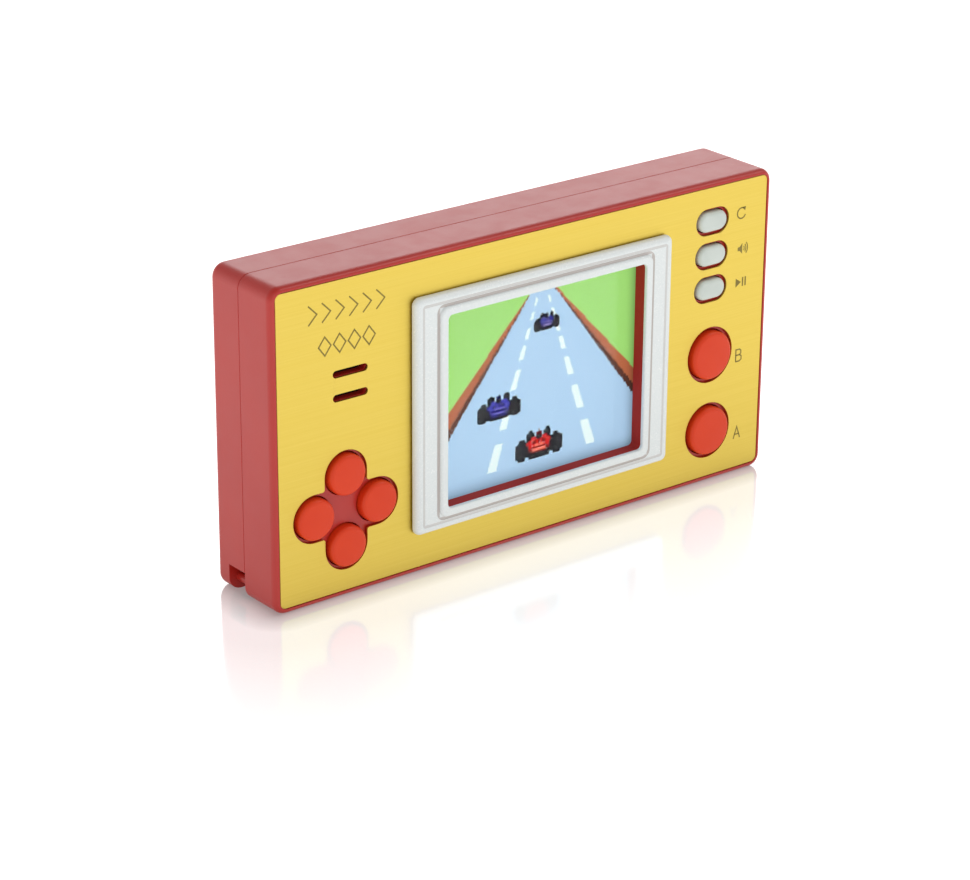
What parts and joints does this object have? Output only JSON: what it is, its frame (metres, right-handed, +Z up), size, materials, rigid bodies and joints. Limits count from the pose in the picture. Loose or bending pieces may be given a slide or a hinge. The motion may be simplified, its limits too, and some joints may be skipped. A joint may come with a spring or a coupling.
{
  "type": "handheld lcd game",
  "caption": "Handheld LCD game: moulded case, brushed metal front plate, colour screen in a silver bezel, direction and action buttons, AAA battery bay.",
  "frame": {"origin": "middle of the bottom of the bounding box, with the game standing on its long bottom edge", "axes": "+X along the case's width, towards the action buttons; -Y out of the front face; +Z up"},
  "size_m": [0.11, 0.019, 0.058],
  "materials": {
    "red_abs": "moulded, gloss",
    "brushed_gold": "brushed and gold anodised",
    "silver_paint": "sprayed silver-white",
    "clear_window": "clear acrylic",
    "lcd_glass": "lit display",
    "white_plastic": "moulded",
    "orange_caps": "moulded, satin",
    "grey_caps": "moulded, satin",
    "black_plastic": "moulded",
    "silicone": "matt silicone rubber",
    "board_green": "solder mask on glass-fibre laminate",
    "epoxy": "cured epoxy drop",
    "steel": "nickel plated",
    "ferrite": "sintered",
    "paper_cone": "pressed film",
    "amber_film": "polyimide film",
    "cell_jacket": "printed jacket",
    "red_wire": "PVC insulation",
    "black_wire": "PVC insulation"
  },
  "bodies": {
    "root": {"front_case": "red_abs", "rear_case": "red_abs", "front_plate": "brushed_gold", "screen_bezel": "silver_paint", "screen_window": "clear_window", "lcd_glass": "lcd_glass", "lcd_backlight": "white_plastic", "lcd_frame": "white_plastic", "lcd_ribbon": "amber_film", "direction_keypad": "silicone", "action_keypad": "silicone", "function_keypad": "silicone", "speaker_frame": "steel", "speaker_cone": "paper_cone", "speaker_magnet": "ferrite", "main_board": "board_green", "game_chip": "epoxy", "clock_crystal": "steel", "capacitor_1": "black_plastic", "capacitor_2": "black_plastic", "power_switch_body": "steel", "contact_plus": "steel", "contact_minus": "steel", "contact_link_left": "steel", "contact_link_right": "steel", "speaker_wire_1": "red_wire", "speaker_wire_2": "black_wire", "battery_wire_plus": "red_wire", "battery_wire_minus": "black_wire", "battery_cell_1": "cell_jacket", "battery_spring_1": "steel", "battery_cell_2": "cell_jacket", "battery_spring_2": "steel", "battery_cell_3": "cell_jacket", "battery_spring_3": "steel", "case_screw_1": "steel", "case_screw_2": "steel", "case_screw_3": "steel", "case_screw_4": "steel", "board_screw_1": "steel", "board_screw_2": "steel"},
    "battery_door": {"battery_door": "red_abs"},
    "button_a": {"button_a": "orange_caps"},
    "button_b": {"button_b": "orange_caps"},
    "button_down": {"button_down": "orange_caps"},
    "button_left": {"button_left": "orange_caps"},
    "button_play": {"button_play": "grey_caps"},
    "button_reset": {"button_reset": "grey_caps"},
    "button_right": {"button_right": "orange_caps"},
    "button_sound": {"button_sound": "grey_caps"},
    "button_up": {"button_up": "orange_caps"},
    "power_switch_knob": {"power_switch_knob": "black_plastic"}
  },
  "joints": [
    {"name": "press_up", "type": "slide", "parent": "root", "child": "button_up", "axis": [0, 1, 0], "range_m": [0, 0.0008], "stiffness_N_per_m": 800, "springref_m": -0.0004},
    {"name": "press_down", "type": "slide", "parent": "root", "child": "button_down", "axis": [0, 1, 0], "range_m": [0, 0.0008], "stiffness_N_per_m": 800, "springref_m": -0.0004},
    {"name": "press_left", "type": "slide", "parent": "root", "child": "button_left", "axis": [0, 1, 0], "range_m": [0, 0.0008], "stiffness_N_per_m": 800, "springref_m": -0.0004},
    {"name": "press_right", "type": "slide", "parent": "root", "child": "button_right", "axis": [0, 1, 0], "range_m": [0, 0.0008], "stiffness_N_per_m": 800, "springref_m": -0.0004},
    {"name": "press_a", "type": "slide", "parent": "root", "child": "button_a", "axis": [0, 1, 0], "range_m": [0, 0.0008], "stiffness_N_per_m": 800, "springref_m": -0.0004},
    {"name": "press_b", "type": "slide", "parent": "root", "child": "button_b", "axis": [0, 1, 0], "range_m": [0, 0.0008], "stiffness_N_per_m": 800, "springref_m": -0.0004},
    {"name": "press_reset", "type": "slide", "parent": "root", "child": "button_reset", "axis": [0, 1, 0], "range_m": [0, 0.0004], "stiffness_N_per_m": 1200, "springref_m": -0.0003},
    {"name": "press_sound", "type": "slide", "parent": "root", "child": "button_sound", "axis": [0, 1, 0], "range_m": [0, 0.0004], "stiffness_N_per_m": 1200, "springref_m": -0.0003},
    {"name": "press_play", "type": "slide", "parent": "root", "child": "button_play", "axis": [0, 1, 0], "range_m": [0, 0.0004], "stiffness_N_per_m": 1200, "springref_m": -0.0003},
    {"name": "power_slide", "type": "slide", "parent": "root", "child": "power_switch_knob", "axis": [0, 0, 1], "range_m": [0, 0.003]},
    {"name": "door_hinge", "type": "hinge", "parent": "root", "child": "battery_door", "pos_m": [-0.0258, 0.0095, 0.029], "axis": [0, 0, 1], "range_deg": [0, 80]}
  ]
}
